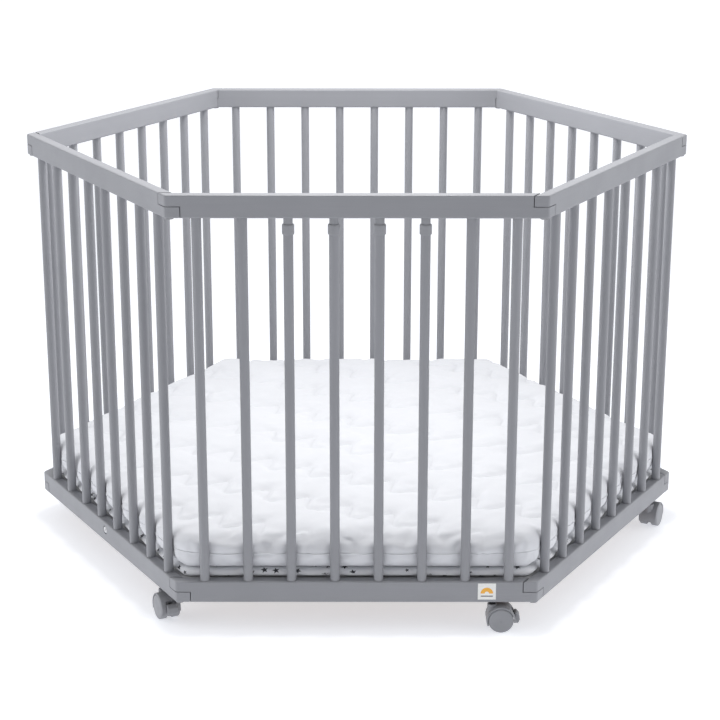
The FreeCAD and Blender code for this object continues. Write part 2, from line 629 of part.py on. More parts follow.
def make_base():
    """Two half boards on battens, and a beam under the joint between them."""
    turned = Placement(Vector(0, 0, 0), Rotation(Vector(0, 0, 1), BEAM_TURN))
    clear = "(Sizes.rail_thickness + Sizes.board_clearance)"
    apothem = f"({APOTHEM} - {clear})"
    half = f"({apothem} / sqrt(3))"
    joint = "0.5"
    level = "Sizes.castor_height + Sizes.board_level - Sizes.board_thickness"
    for name, sign in (("left", "-"), ("right", "")):
        board = keep(new_body(f"base_board_{name}", turned))
        outline = [
            (f"{sign}{joint}", f"-{apothem}"), (f"{sign}{half}", f"-{apothem}"),
            (f"{sign}(2 * {half})", "0"), (f"{sign}{half}", apothem),
            (f"{sign}{joint}", apothem),
        ]
        pad(board, polygon(board, "XY_Plane", outline, level), "Sizes.board_thickness")

    batten_level = value(f"{level} - Sizes.batten_height")
    inner = f"({APOTHEM} - Sizes.rail_thickness)"
    beam_place = turned.multiply(Placement(Vector(0, 0, batten_level), Rotation()))
    beam = box("BeamBlank", "Sizes.beam_width", f"2 * {inner}", "Sizes.batten_height",
               beam_place)
    bore_length = "Sizes.bolt_length + 12 - Sizes.rail_thickness"
    bolt_z = value("Sizes.castor_height + Sizes.beam_bolt_level")
    bores = []
    bolt_places = []
    for turn in (0.0, 180.0):
        way = turned.multiply(Placement(Vector(0, 0, 0), Rotation(Vector(0, 0, 1), turn)))
        inwards = Rotation(Vector(1, 0, 0), -90)
        start = Placement(Vector(0, -value(inner), bolt_z), inwards)
        bores.append(cylinder("Bore", "Sizes.bolt_hole_diameter", bore_length,
                              way.multiply(start)))
        seat = value(f"{APOTHEM} - Sizes.beam_bolt_recess")
        bolt_places.append(way.multiply(Placement(Vector(0, -seat, bolt_z), inwards)))
    cutter = document.addObject("Part::MultiFuse", "BeamBores")
    cutter.Shapes = bores
    drilled = keep(document.addObject("Part::Cut", "support_beam"))
    drilled.Base = beam
    drilled.Tool = cutter

    bolt = new_body("BeamBolt")
    reach = "(Sizes.bolt_length + 8)"
    revolve(bolt, [
        ("0", "-0.4"), ("1.6", "-0.4"), ("2.0", "-1.6"),
        ("Sizes.beam_bolt_head / 2 - 0.9", "-2.2"), ("Sizes.beam_bolt_head / 2", "-1.2"),
        ("Sizes.beam_bolt_head / 2", "0"), ("Sizes.bolt_diameter / 2", "0"),
        ("Sizes.bolt_diameter / 2", reach), ("0", reach),
    ])
    keep(copies("beam_bolts", bolt, bolt_places))
    make_ledges(batten_level)


def make_ledges(level):
    """A batten along the inside of each bottom rail, in two pieces where the support
    beam stands between them, and the screws that hold them."""
    inner = f"({APOTHEM} - Sizes.rail_thickness)"
    middle_y = -value(f"{inner} - Sizes.ledge_width / 2")
    room = "((Sizes.side_length - Sizes.beam_width) / 2 - 40)"
    whole = f"(2 * {room} + Sizes.beam_width)"
    ledges = []
    screws = []
    screw = new_body("LedgeScrew")
    revolve(screw, [
        ("0", "0.3"), ("Sizes.screw_head_diameter / 2", "0.3"),
        ("Sizes.screw_diameter / 2", "2.2"),
        ("Sizes.screw_diameter / 2", "Sizes.screw_length - 3"), ("0", "Sizes.screw_length"),
    ])
    screw_z = level + value("Sizes.batten_height") / 2
    face_y = -value(f"{inner} - Sizes.ledge_width")
    outwards = Rotation(Vector(1, 0, 0), 90)
    for side in SIDES:
        if side in ("front_left", "back_right"):
            shift = value(f"(Sizes.beam_width + {room}) / 2 + 1")
            spans = [(-shift, room), (shift, room)]
        else:
            spans = [(0.0, whole)]
        for x, length in spans:
            place = side_placement(side, x, middle_y, level)
            ledges.append(box("Ledge", length, "Sizes.ledge_width", "Sizes.batten_height", place))
            for end in (-1, 1):
                screw_x = x + end * (value(length) / 2 - SCREW_INSET)
                spot = side_placement(side, screw_x, face_y, screw_z)
                screws.append(spot.multiply(Placement(Vector(0, 0, 0), outwards)))
    keep(compound("base_ledges", ledges))
    keep(copies("ledge_screws", screw, screws))


# -------------------------------------------------------------------------- soft parts

def hexagonal_pad(label, level, apothem, thickness):
    """A six-sided pad with rounded corners and edges."""
    body = new_body(label)
    half = f"({apothem} / sqrt(3))"
    outline = [
        (f"-{half}", f"-{apothem}"), (half, f"-{apothem}"), (f"2 * {half}", "0"),
        (half, apothem), (f"-{half}", apothem), (f"-2 * {half}", "0"),
    ]
    pad(body, polygon(body, "XY_Plane", outline, level), thickness)
    round_edges(body, "Sizes.pad_corner_radius", lambda edge: edge.BoundBox.ZLength > 5)
    round_edges(body, "Sizes.pad_edge_radius", lambda edge: edge.BoundBox.ZLength < 0.01)
    return body


def make_soft_parts():
    mat_level = "(Sizes.castor_height + Sizes.board_level)"
    mattress_level = f"({mat_level} + Sizes.mat_thickness + Sizes.soft_gap)"
    keep(hexagonal_pad("play_mat", mat_level, "Sizes.mat_apothem", "Sizes.mat_thickness"))
    keep(hexagonal_pad("mattress", mattress_level, "Sizes.mattress_apothem",
                       "Sizes.mattress_thickness"))


def make_label():
    """A plain sticker on the front bottom rail."""
    place = Placement(Vector(value("Sizes.label_offset"),
                             value(f"{OUTER_Y} - Sizes.label_thickness / 2"),
                             value("Sizes.castor_height + Sizes.label_level"
                                   " - Sizes.label_height / 2")), Rotation())
    sticker = box("label", "Sizes.label_width", "Sizes.label_thickness",
                  "Sizes.label_height", place)
    sticker.Label = "label"
    keep(sticker)


# ------------------------------------------------------------------- build and write

make_rails()
make_bars()
make_slip_bars()
make_corner_fasteners()
make_castors()
make_base()
make_soft_parts()
make_label()
document.recompute()

for item in document.Objects:
    faults = [state for state in item.State if state in ("Invalid", "Error")]
    if faults:
        raise RuntimeError(f"{item.Label} ({item.Name}) is {faults}")
labels = [piece.Label for piece in nodes]
if len(set(labels)) != len(labels):
    raise RuntimeError("two sub-parts have one label")
for piece in nodes:
    if piece.Shape.isNull() or not piece.Shape.isValid() or not piece.Shape.Solids:
        raise RuntimeError(f"{piece.Label} has no valid solid")

os.makedirs("parts", exist_ok=True)
for piece in nodes:
    piece.Shape.exportStep(f"parts/{piece.Label}.step")
print(len(nodes), "sub-parts written")
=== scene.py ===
"""Finish for a six-sided playpen on castors: paint, plastic, metal, quilted cloth, light.

Metres, +Z up, the front side faces -Y. The rigid parts come with the frame and only get
their materials here. The mattress, the play mat and the springs are made here.
"""
import math

import bmesh
import bpy
import numpy as np
from mathutils import Euler, Matrix, Vector
from mathutils.bvhtree import BVHTree
from mathutils.kdtree import KDTree


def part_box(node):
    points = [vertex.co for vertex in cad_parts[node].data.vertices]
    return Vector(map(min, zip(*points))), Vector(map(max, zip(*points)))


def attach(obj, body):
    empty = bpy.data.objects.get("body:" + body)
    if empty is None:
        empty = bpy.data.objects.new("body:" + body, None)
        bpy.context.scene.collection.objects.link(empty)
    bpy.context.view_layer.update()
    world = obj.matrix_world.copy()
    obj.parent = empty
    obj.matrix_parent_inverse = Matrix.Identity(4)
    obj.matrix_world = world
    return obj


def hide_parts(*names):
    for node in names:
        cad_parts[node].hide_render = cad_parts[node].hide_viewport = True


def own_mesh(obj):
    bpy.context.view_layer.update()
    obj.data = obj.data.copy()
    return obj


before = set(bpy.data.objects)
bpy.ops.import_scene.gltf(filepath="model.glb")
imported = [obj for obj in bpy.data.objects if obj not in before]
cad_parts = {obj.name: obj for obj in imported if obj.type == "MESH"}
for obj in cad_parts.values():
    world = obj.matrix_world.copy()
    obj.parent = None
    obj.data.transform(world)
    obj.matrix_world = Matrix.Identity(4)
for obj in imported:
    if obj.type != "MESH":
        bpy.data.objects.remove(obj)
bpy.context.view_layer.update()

bl_info = {
    "name": "Playpen Finish",
    "version": (1, 0, 0),
    "blender": (4, 5, 0),
    "location": "View3D > Sidebar > Playpen",
    "description": "Makes the soft parts and the finishes of a six-sided playpen",
    "category": "Object",
}

MM = 0.001
SIDES = ("front", "front_right", "back_right", "back", "back_left", "front_left")
SLIPS = (1, 2, 3, 4)
SIDE_TURN = math.radians(60)
BAR_PITCH = 72 * MM
# From the middle of the pen: how far a pad may reach out to the bars and the lower rails.
BAR_REACH = 500.9 * MM
RAIL_REACH = 499.2 * MM
# The dent of one bar in a pad, and where along a side the bulges end and how softly.
BAR_DENT = 13 * MM
BULGES_END = 283 * MM
BULGES_FADE = 24 * MM
CLEARANCE = 0.2 * MM
# Depths and widths of the sewing in the mattress, and the height of its lumps.
PUFF, PUFF_WIDTH = 1.9 * MM, 13 * MM
LINE_WIDTH = 4 * MM
SEAM_DEPTH, SEAM_WIDTH = 1.8 * MM, 3.5 * MM
WIDE_LUMPS, SMALL_LUMPS = 0.8 * MM, 0.7 * MM
SWELL_FRAMES = 20


# ---------- settings

def colour(name, description, default):
    return bpy.props.FloatVectorProperty(
        name=name, description=description, default=default, subtype="COLOR",
        size=3, min=0.0, max=1.0)


def length(name, description, default):
    return bpy.props.FloatProperty(
        name=name, description=description, default=default, unit="LENGTH",
        subtype="DISTANCE", precision=4)


def amount(name, description, default, high=1.0):
    return bpy.props.FloatProperty(
        name=name, description=description, default=default, min=0.0, max=high)


class PlaypenPaint(bpy.types.PropertyGroup):
    """The satin paint of the rails and bars."""
    tint: colour("Paint", "Colour of the paint", (0.283, 0.287, 0.308))
    roughness: amount("Roughness", "How matt the paint is", 0.5)
    grain: amount("Grain", "How far the wood grain shows through the paint", 0.32)
    # These two set the width and strength of a lighter band along the edges: a painted
    # highlight, in patches like paint rubbed thin.
    edge_radius: length("Edge width", "How far rubbing reaches in from an edge", 1.6 * MM)
    edge_wear: amount("Edge wear", "How much the paint thins along its edges", 0.35)


class PlaypenHardware(bpy.types.PropertyGroup):
    """Castors, caps, screws and boards."""
    plastic: colour("Plastic", "Colour of the castors and caps", (0.28, 0.284, 0.304))
    zinc: colour("Zinc", "Colour of the plated screws and springs", (0.62, 0.62, 0.63))
    bolt: colour("Bolts", "Colour of the dull bolts in the corners", (0.3, 0.3, 0.31))
    black: colour("Black steel", "Colour of the castor stems", (0.02, 0.02, 0.022))
    board: colour("Board", "Colour of the base board's coated face", (0.52, 0.52, 0.53))


class PlaypenMattress(bpy.types.PropertyGroup):
    """The quilted mattress."""
    cloth: colour("Cloth", "Colour of the cover", (0.69, 0.698, 0.728))
    apothem: length("Half width", "From the middle to a flat side, before it swells", 497 * MM)
    corner: length("Corner", "Radius of the corners seen from above", 14 * MM)
    edge: length("Edge", "Radius along the top edge", 12 * MM)
    under: length("Lower edge", "Radius along the bottom edge", 6 * MM)
    bulge: length("Bulge", "How far the side comes out between two bars", 6.5 * MM)
    swell: length("Swell", "The most that stuffing pushes the cover out", 5 * MM)
    cell: length("Cell", "Size of the cells that the cover is simulated with", 8 * MM)
    wave: length("Wave", "Width of one step of the quilting", 73 * MM)
    drop: length("Drop", "How far one step comes forward", 38 * MM)
    row: length("Row", "Distance between two rows of quilting", 155 * MM)
    groove: length("Groove", "Depth of the sewn line", 2.3 * MM)
    stitch: length("Stitch", "Length from one stitch to the next", 4.2 * MM)
    thread: length("Thread", "Thickness of the sewing thread", 0.6 * MM)
    piping: length("Piping", "Thickness of the seam round the side", 2.4 * MM)


class PlaypenMat(bpy.types.PropertyGroup):
    """The thin play mat with its star print."""
    cloth: colour("Cloth", "Colour of the mat", (0.82, 0.83, 0.86))
    ink: colour("Ink", "Colour of the stars", (0.05, 0.053, 0.062))
    apothem: length("Half width", "From the middle to a flat side", 496.5 * MM)
    corner: length("Corner", "Radius of the corners seen from above", 13 * MM)
    edge: length("Edge", "Radius along the edges", 6 * MM)
    large_star: length("Large star", "Width across the points of a large star", 13 * MM)
    small_star: length("Small star", "Width across the points of a small star", 8 * MM)
    spacing: length("Spacing", "Least distance between two stars", 18 * MM)


class PlaypenSprings(bpy.types.PropertyGroup):
    """The springs under the caps of the bars that lift out."""
    coil: length("Coil", "Width of the coil between wire centres", 9.4 * MM)
    wire: length("Wire", "Thickness of the wire", 1.1 * MM)
    turns: amount("Turns", "How often the wire goes round", 7.0, 20.0)
    pressed: amount("Pressed length", "Share of the length left with the cap down", 0.605)


class PlaypenStage(bpy.types.PropertyGroup):
    """Floor, light and camera."""
    floor: colour("Floor", "Colour of the floor", (0.72, 0.73, 0.75))
    glow: amount("Glow", "Light of the floor itself", 0.57, 4.0)
    lamp: bpy.props.FloatProperty(
        name="Lamp", description="Power of the lamp over the pen", default=19.5, min=0.0,
        subtype="POWER")
    lamp_height: length("Lamp height", "How far the lamp hangs over the floor", 1.7)
    zenith: amount("Zenith", "Light from straight above", 0.6, 40.0)
    flank: amount("Flanks", "Light from the left and the right", 3.4, 10.0)
    haze: amount("Haze", "Light from everywhere", 0.27, 10.0)
    lens: bpy.props.FloatProperty(
        name="Lens", description="Focal length in millimetres on a 36 mm film",
        default=95.18, unit="CAMERA")
    stand: bpy.props.FloatVectorProperty(
        name="Stand", description="Where the camera stands", size=3,
        default=(0.0, -3.4216, 1.3764), subtype="TRANSLATION")
    tilt: bpy.props.FloatVectorProperty(
        name="Tilt", description="Down, round and roll of the camera", size=3,
        default=(0.30144, 0.00173, 0.00123), subtype="EULER")


# ---------- node tools

def fill(tree, node, inputs):
    """Set a node's inputs, each to a value, a socket or another node's first output."""
    for name, given in inputs.items():
        if isinstance(given, bpy.types.Node):
            given = given.outputs[0]
        if isinstance(given, bpy.types.NodeSocket):
            tree.links.new(given, node.inputs[name])
        else:
            node.inputs[name].default_value = given
    return node


def add(tree, kind, inputs=None, **settings):
    """A new node with its settings and its inputs."""
    node = tree.nodes.new(kind)
    for name, setting in settings.items():
        setattr(node, name, setting)
    return fill(tree, node, inputs or {})


def maths(tree, operation, *given, clamp=False):
    """One step of arithmetic."""
    return add(tree, "ShaderNodeMath", dict(enumerate(given)), operation=operation,
               use_clamp=clamp)


def times(tree, first, second):
    return maths(tree, "MULTIPLY", first, second)


def plus(tree, first, second):
    return maths(tree, "ADD", first, second)


def spread(tree, factor, low, high, to_low=0.0, to_high=1.0):
    """The factor's range from low to high, stretched to another range."""
    return add(tree, "ShaderNodeMapRange",
               {"Value": factor, "From Min": low, "From Max": high,
                "To Min": to_low, "To Max": to_high})


def noise(tree, place, scale, detail, roughness=0.5, distortion=0.0):
    return add(tree, "ShaderNodeTexNoise",
               {"Vector": place, "Scale": scale, "Detail": detail, "Roughness": roughness,
                "Distortion": distortion})


def blend(tree, factor, first, second):
    """The colour between two, by a factor."""
    return add(tree, "ShaderNodeMix", {0: factor, 6: first, 7: second},
               data_type="RGBA").outputs[2]


def axes_of(tree, vector):
    return add(tree, "ShaderNodeSeparateXYZ", {"Vector": vector}).outputs


def new_group(name, kind, inputs, outputs):
    """An empty node group. A socket is given by its default, or by its kind in a word."""
    tree = bpy.data.node_groups.new(name, kind)
    for way, sockets in (("INPUT", inputs), ("OUTPUT", outputs)):
        for label, given in sockets.items():
            word = {float: "Float", int: "Int"}.get(type(given), given)
            socket = tree.interface.new_socket(name=label, in_out=way,
                                               socket_type=f"NodeSocket{word}")
            if word != given:
                socket.default_value = given
    return (tree, tree.nodes.new("NodeGroupInput").outputs,
            tree.nodes.new("NodeGroupOutput"))


def effect(name, inputs, *outputs):
    """An empty shader group that reads a place and puts out plain numbers."""
    return new_group(name, "ShaderNodeTree", {"Vector": "Vector", **inputs},
                     dict.fromkeys(outputs, "Float"))


def use(tree, name, place, **values):
    """A surface effect placed in a material, with its own values."""
    return add(tree, "ShaderNodeGroup", {"Vector": place, **values},
               node_tree=bpy.data.node_groups[name])


def make_mottle_group():
    """Slow cloudy change, for colour and roughness."""
    tree, given, result = effect("Mottle", {"Scale": 6.0, "Low": 0.0, "High": 1.0}, "Factor")
    clouds = noise(tree, given["Vector"], given["Scale"], 4.0, 0.55)
    fill(tree, result, {"Factor": spread(tree, clouds, 0.32, 0.68, given["Low"],
                                         given["High"])})


def make_grain_group():
    """Long fibres along X, for wood that shows through paint."""
    tree, given, result = effect("Wood Grain", {"Fibres": 420.0}, "Height")
    drawn = add(tree, "ShaderNodeMapping", {"Vector": given["Vector"],
                                            "Scale": (0.035, 1.0, 1.0)})
    fibres = noise(tree, drawn, given["Fibres"], 3.0, 0.6, 0.25)
    rings = noise(tree, drawn, 85.0, 2.0)
    fill(tree, result, {"Height": plus(tree, times(tree, fibres, 0.6),
                                       times(tree, rings, 0.4))})


def make_edge_group():
    """Where a surface turns sharply, as far in as the radius: the mask of a painted edge
    highlight, broken into patches like paint rubbed thin.
    """
    tree, given, result = effect("Lit And Worn Edges", {"Radius": 0.0015, "Amount": 0.4}, "Mask")
    rounded = add(tree, "ShaderNodeBevel", {"Radius": given["Radius"]}, samples=4)
    flat = add(tree, "ShaderNodeNewGeometry").outputs["Normal"]
    alike = add(tree, "ShaderNodeVectorMath", {0: rounded, 1: flat},
                operation="DOT_PRODUCT").outputs["Value"]
    patches = noise(tree, given["Vector"], 38.0, 3.0)
    # Painted highlight: lighter where the edge rounds off, in patches like paint rubbed thin.
    lit_and_worn = times(tree, spread(tree, alike, 0.995, 0.86), spread(tree, patches, 0.4, 0.66))
    fill(tree, result, {"Mask": maths(tree, "MULTIPLY", lit_and_worn, given["Amount"], clamp=True)})


def make_knit_group():
    """Fine knitted cloth, on a map in metres."""
    tree, given, result = effect("Knit", {"Threads": 700.0}, "Height", "Mask")
    warped = noise(tree, given["Vector"], 90.0, 1.0).outputs["Color"]
    nudge = add(tree, "ShaderNodeVectorMath", {0: warped, 1: (0.0006, 0.0006, 0.0)},
                operation="MULTIPLY")
    axes = axes_of(tree, add(tree, "ShaderNodeVectorMath", {0: given["Vector"], 1: nudge}))
    turns = times(tree, given["Threads"], 2 * math.pi)
    across = maths(tree, "SINE", times(tree, axes["X"], turns))
    lean = times(tree, maths(tree, "ABSOLUTE", across), 1.6)
    along = maths(tree, "SINE", plus(tree, times(tree, axes["Y"], turns), lean))
    height = times(tree, plus(tree, across, along), 0.5)
    fill(tree, result, {"Height": height, "Mask": spread(tree, height, -1.0, 1.0)})


def make_speckle_group():
    """Small raised pits and grains, as on moulded plastic or sprayed paint."""
    tree, given, result = effect("Speckle", {"Scale": 1400.0}, "Height")
    fill(tree, result, {"Height": noise(tree, given["Vector"], given["Scale"], 2.0)})


# ---------- materials

def shade(tint, factor):
    """A colour made lighter or darker, with its alpha."""
    return tuple(min(1.0, part * factor) for part in tint) + (1.0,)


def clouded(tree, place, scale, tint, low, high):
    """A tint that drifts from a little darker to a little lighter."""
    return blend(tree, use(tree, "Mottle", place, Scale=scale), shade(tint, low),
                 shade(tint, high))


def relief(tree, height, strength, distance):
    """A normal that follows a height."""
    return add(tree, "ShaderNodeBump", {"Height": height, "Strength": strength,
                                        "Distance": distance})


def new_material(name, sockets):
    """A material, its tree and its shader, whose fixed values sit on its own sockets."""
    material = bpy.data.materials.new(name)
    material.use_nodes = True
    tree = material.node_tree
    shader = next(node for node in tree.nodes if node.type == "BSDF_PRINCIPLED")
    return material, tree, fill(tree, shader, sockets)


def object_place(tree, turn=(0.0, 0.0, 0.0)):
    """Object coordinates, turned so that a pattern can follow a rail or a bar."""
    place = add(tree, "ShaderNodeTexCoord").outputs["Object"]
    return add(tree, "ShaderNodeMapping", {"Vector": place, "Rotation": turn},
               vector_type="TEXTURE")


def paint_material(name, settings, turn):
    """Satin paint over wood whose grain runs along the turned X axis."""
    matt = settings.roughness
    material, tree, shader = new_material(name, {"Roughness": matt,
                                                 "Specular IOR Level": 0.42})
    place = object_place(tree, turn)
    grain = use(tree, "Wood Grain", place)
    peel = use(tree, "Speckle", place, Scale=520.0)
    # Edges lightened: a painted highlight along the rounded edges, in patches like paint rubbed
    # thin.
    edges = use(tree, "Lit And Worn Edges", place, Radius=settings.edge_radius,
                Amount=settings.edge_wear)
    streaks = spread(tree, grain, 0.36, 0.64, 0.0, settings.grain * 0.6)
    grained = blend(tree, streaks, clouded(tree, place, 5.0, settings.tint, 0.97, 1.03),
                    shade(settings.tint, 0.84))
    height = plus(tree, times(tree, grain, settings.grain * 2), times(tree, peel, 0.35))
    fill(tree, shader, {
        "Base Color": blend(tree, edges, grained, shade(settings.tint, 1.7)),
        "Roughness": use(tree, "Mottle", place, Scale=22.0, Low=matt - 0.06,
                         High=matt + 0.06),
        "Normal": relief(tree, height, 0.35, 0.25 * MM)})
    return material


def plastic_material(name, tint):
    """Moulded plastic with a fine spark-eroded grain."""
    material, tree, shader = new_material(name, {"Roughness": 0.46,
                                                 "Specular IOR Level": 0.5})
    place = object_place(tree)
    # Edges lightened: a painted highlight along the moulded edges, in patches.
    edges = use(tree, "Lit And Worn Edges", place, Radius=0.8 * MM, Amount=0.35)
    mixed = clouded(tree, place, 30.0, tint, 0.95, 1.05)
    fill(tree, shader, {
        "Base Color": blend(tree, edges, mixed, shade(tint, 1.5)),
        "Roughness": use(tree, "Mottle", place, Scale=55.0, Low=0.4, High=0.54),
        "Normal": relief(tree, use(tree, "Speckle", place, Scale=1500.0), 0.3,
                         0.06 * MM)})
    return material


def metal_material(name, tint, roughness, streak):
    """Plated or blackened steel with fine rubbing marks."""
    material, tree, shader = new_material(name, {"Roughness": roughness, "Metallic": 1.0})
    place = object_place(tree)
    drawn = add(tree, "ShaderNodeMapping", {"Vector": place, "Scale": (1.0, 1.0, streak)})
    marks = use(tree, "Speckle", drawn, Scale=900.0)
    fill(tree, shader, {
        "Base Color": clouded(tree, place, 120.0, tint, 0.82, 1.12),
        "Roughness": spread(tree, marks, 0.3, 0.7, roughness - 0.1, roughness + 0.12),
        "Normal": relief(tree, marks, 0.25, 0.04 * MM)})
    return material


def board_material(tint):
    """Thin fibreboard: a coated face on top, bare brown fibre below and on the edges."""
    material, tree, shader = new_material("coated_board", {"Roughness": 0.5,
                                                           "Specular IOR Level": 0.35})
    place = object_place(tree)
    normal = add(tree, "ShaderNodeNewGeometry").outputs["Normal"]
    coated = spread(tree, axes_of(tree, normal)["Z"], 0.4, 0.6)
    bare = blend(tree, use(tree, "Mottle", place, Scale=260.0), (0.16, 0.095, 0.05, 1.0),
                 (0.29, 0.19, 0.11, 1.0))
    coat = clouded(tree, place, 9.0, tint, 0.96, 1.04)
    fill(tree, shader, {
        "Base Color": blend(tree, coated, bare, coat),
        "Roughness": spread(tree, coated, 0.0, 1.0, 0.85, 0.42),
        "Normal": relief(tree, use(tree, "Speckle", place, Scale=700.0), 0.3, 0.1 * MM)})
    return material


def cloth_material(name, tint, threads):
    """Soft cotton, knitted, with the cloth's own map."""
    material, tree, shader = new_material(
        name, {"Roughness": 0.86, "Specular IOR Level": 0.22, "Sheen Weight": 0.18,
               "Sheen Roughness": 0.45})
    place = add(tree, "ShaderNodeTexCoord").outputs["UV"]
    knit = use(tree, "Knit", place, Threads=threads)
    fuzz = use(tree, "Speckle", place, Scale=420.0)
    # Low threads of the knit darkened: painted shade in the dips between threads.
    shaded_dips = spread(tree, knit.outputs["Mask"], 0.0, 1.0, 0.25, 0.0)
    mixed = clouded(tree, place, 7.0, tint, 0.98, 1.02)
    height = plus(tree, times(tree, knit, 0.5), fuzz)
    fill(tree, shader, {
        "Base Color": blend(tree, shaded_dips, mixed, shade(tint, 0.86)),
        "Roughness": spread(tree, fuzz, 0.3, 0.7, 0.78, 0.93),
        "Normal": relief(tree, height, 0.4, 0.22 * MM)})
    return material


def thread_material(name, tint):
    """Twisted sewing thread, or ink that has sunk into cloth."""
    material, tree, shader = new_material(
        name, {"Roughness": 0.8, "Specular IOR Level": 0.25, "Sheen Weight": 0.1})
    place = object_place(tree)
    fill(tree, shader, {
        "Base Color": clouded(tree, place, 160.0, tint, 0.92, 1.08),
        "Normal": relief(tree, use(tree, "Speckle", place, Scale=1300.0), 0.35,
                         0.08 * MM)})
    return material


def sticker_material():
    """A white paper label with a plain orange half disc over a grey bar."""
    material, tree, shader = new_material("printed_label", {"Roughness": 0.38,
                                                            "Specular IOR Level": 0.5})
    low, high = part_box("label")
    place = add(tree, "ShaderNodeTexCoord").outputs["Object"]
    axes = axes_of(tree, place)
    across = maths(tree, "SUBTRACT", axes["X"], (low.x + high.x) / 2)
    up = maths(tree, "SUBTRACT", axes["Z"], low.z + 11 * MM)
    reach = maths(tree, "SQRT", plus(tree, times(tree, across, across),
                                     times(tree, up, up)))
    disc = times(tree, maths(tree, "LESS_THAN", reach, 10.5 * MM),
                 maths(tree, "GREATER_THAN", up, 0.0))
    ring = times(tree, disc, maths(tree, "GREATER_THAN", reach, 3.6 * MM))
    below = maths(tree, "ABSOLUTE", plus(tree, up, 4.8 * MM))
    bar = times(tree, maths(tree, "LESS_THAN", maths(tree, "ABSOLUTE", across), 10 * MM),
                maths(tree, "LESS_THAN", below, 1.1 * MM))
    paper = use(tree, "Mottle", place, Scale=300.0)
    white = blend(tree, paper, (0.78, 0.78, 0.76, 1.0), (0.86, 0.86, 0.84, 1.0))
    marked = blend(tree, ring, white, (0.86, 0.43, 0.05, 1.0))
    fill(tree, shader, {"Base Color": blend(tree, bar, marked, (0.2, 0.2, 0.21, 1.0)),
                        "Normal": relief(tree, paper, 0.15, 0.05 * MM)})
    return material


def each(pattern, endings):
    return [pattern.format(ending) for ending in endings]


def dress(material, *nodes):
    """Give rigid parts their finish."""
    for node in nodes:
        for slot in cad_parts[node].material_slots:
            slot.material = material


# ---------- mesh tools

def new_piece(name, mesh):
    piece = bpy.data.objects.new(name, mesh)
    bpy.context.scene.collection.objects.link(piece)
    return piece


def coat(mesh, material):
    mesh.materials.clear()
    mesh.materials.append(material)


def clothe(mesh, cloth):
    """Make a finished cover smooth, map it and dress it in its cloth."""
    mesh.polygons.foreach_set("use_smooth", [True] * len(mesh.polygons))
    mesh.update()
    lay_cloth_map(mesh)
    coat(mesh, cloth)


def rows_of(items, label):
    """A value with three parts from every item, as rows."""
    found = np.zeros(len(items) * 3, np.float32)
    items.foreach_get(label, found)
    return found.reshape(-1, 3).astype(float)


def points_of(mesh):
    return rows_of(mesh.vertices, "co")


def normals_of(mesh):
    return rows_of(mesh.vertex_normals, "vector")


def move_points(mesh, points):
    mesh.vertices.foreach_set("co", points.astype(np.float32).ravel())
    mesh.update()


def settle(piece):
    """Apply a piece's modifiers to its mesh."""
    evaluated = piece.evaluated_get(bpy.context.evaluated_depsgraph_get())
    mesh = bpy.data.meshes.new_from_object(evaluated)
    piece.modifiers.clear()
    piece.data = mesh
    return mesh


def grow(name, tree, source, values):
    """One plain mesh from a node tree: the source mesh carries it, the values fill its
    named inputs."""
    carrier = new_piece(f"{name}_carrier", source)
    modifier = carrier.modifiers.new("grow", "NODES")
    modifier.node_group = tree
    for item in tree.interface.items_tree:
        if item.item_type == "SOCKET" and item.in_out == "INPUT" and item.name in values:
            modifier[item.identifier] = values[item.name]
    mesh = settle(carrier)
    bpy.data.objects.remove(carrier)
    mesh.name = name
    return new_piece(name, mesh)


def path_mesh(name, runs, closed=False):
    """A mesh of edges along each run of points."""
    points, edges = [], []
    for run in runs:
        first = len(points)
        points.extend(run)
        edges.extend((first + i, first + i + 1) for i in range(len(run) - 1))
        if closed:
            edges.append((first + len(run) - 1, first))
    mesh = bpy.data.meshes.new(name)
    mesh.from_pydata([tuple(p) for p in points], edges, [])
    return mesh


def rounded_hexagon(apothem, corner, steps=10):
    """Outline of a six-sided pad with rounded corners, anticlockwise."""
    middle = (apothem - corner) / math.cos(math.radians(30))
    outline = []
    for index in range(6):
        towards = math.radians(60 * index)
        for step in range(steps + 1):
            turn = towards + math.radians(-30 + 60 * step / steps)
            outline.append((middle * math.cos(towards) + corner * math.cos(turn),
                            middle * math.sin(towards) + corner * math.sin(turn)))
    return outline


def new_pad(name, apothem, corner, edge, under, low, high, steps=8):
    """A closed six-sided pad: round corners, a round edge above and another below."""
    quarter = [math.radians(90 * step / steps) for step in range(steps + 1)]
    rings = [(under * (1 - math.cos(turn)), low + under - under * math.sin(turn))
             for turn in reversed(quarter)]
    rings += [(edge * (1 - math.cos(turn)), high - edge + edge * math.sin(turn))
              for turn in quarter]
    net = bmesh.new()
    rows = [[net.verts.new((x, y, level)) for x, y in
             rounded_hexagon(apothem - inset, max(corner - inset, 2 * MM))]
            for inset, level in rings]
    for below, above in zip(rows, rows[1:]):
        for i in range(len(below)):
            j = (i + 1) % len(below)
            net.faces.new((below[i], below[j], above[j], above[i]))
    net.faces.new(rows[-1])
    net.faces.new(reversed(rows[0]))
    mesh = bpy.data.meshes.new(name)
    net.to_mesh(mesh)
    net.free()
    return new_piece(name, mesh)


def even_cells(piece, cell):
    """Rebuild a closed piece of even cells."""
    remesh = piece.modifiers.new("cells", "REMESH")
    remesh.mode = "VOXEL"
    remesh.voxel_size = cell
    return settle(piece)


def finer(piece):
    """Split every face in four, with a smooth surface."""
    split = piece.modifiers.new("finer", "SUBSURF")
    split.levels = split.render_levels = 1
    return settle(piece)


def side_distance(points):
    """How far out each point is, measured square to its nearest side."""
    return np.max([points[:, 0] * math.sin(k * SIDE_TURN) - points[:, 1] *
                   math.cos(k * SIDE_TURN) for k in range(6)], axis=0)


def upright_share(normals, limit=0.75):
    """1 where a surface stands upright, falling to 0 where it turns up or down."""
    return 1 - np.clip(np.abs(normals[:, 2]) / limit, 0, 1)


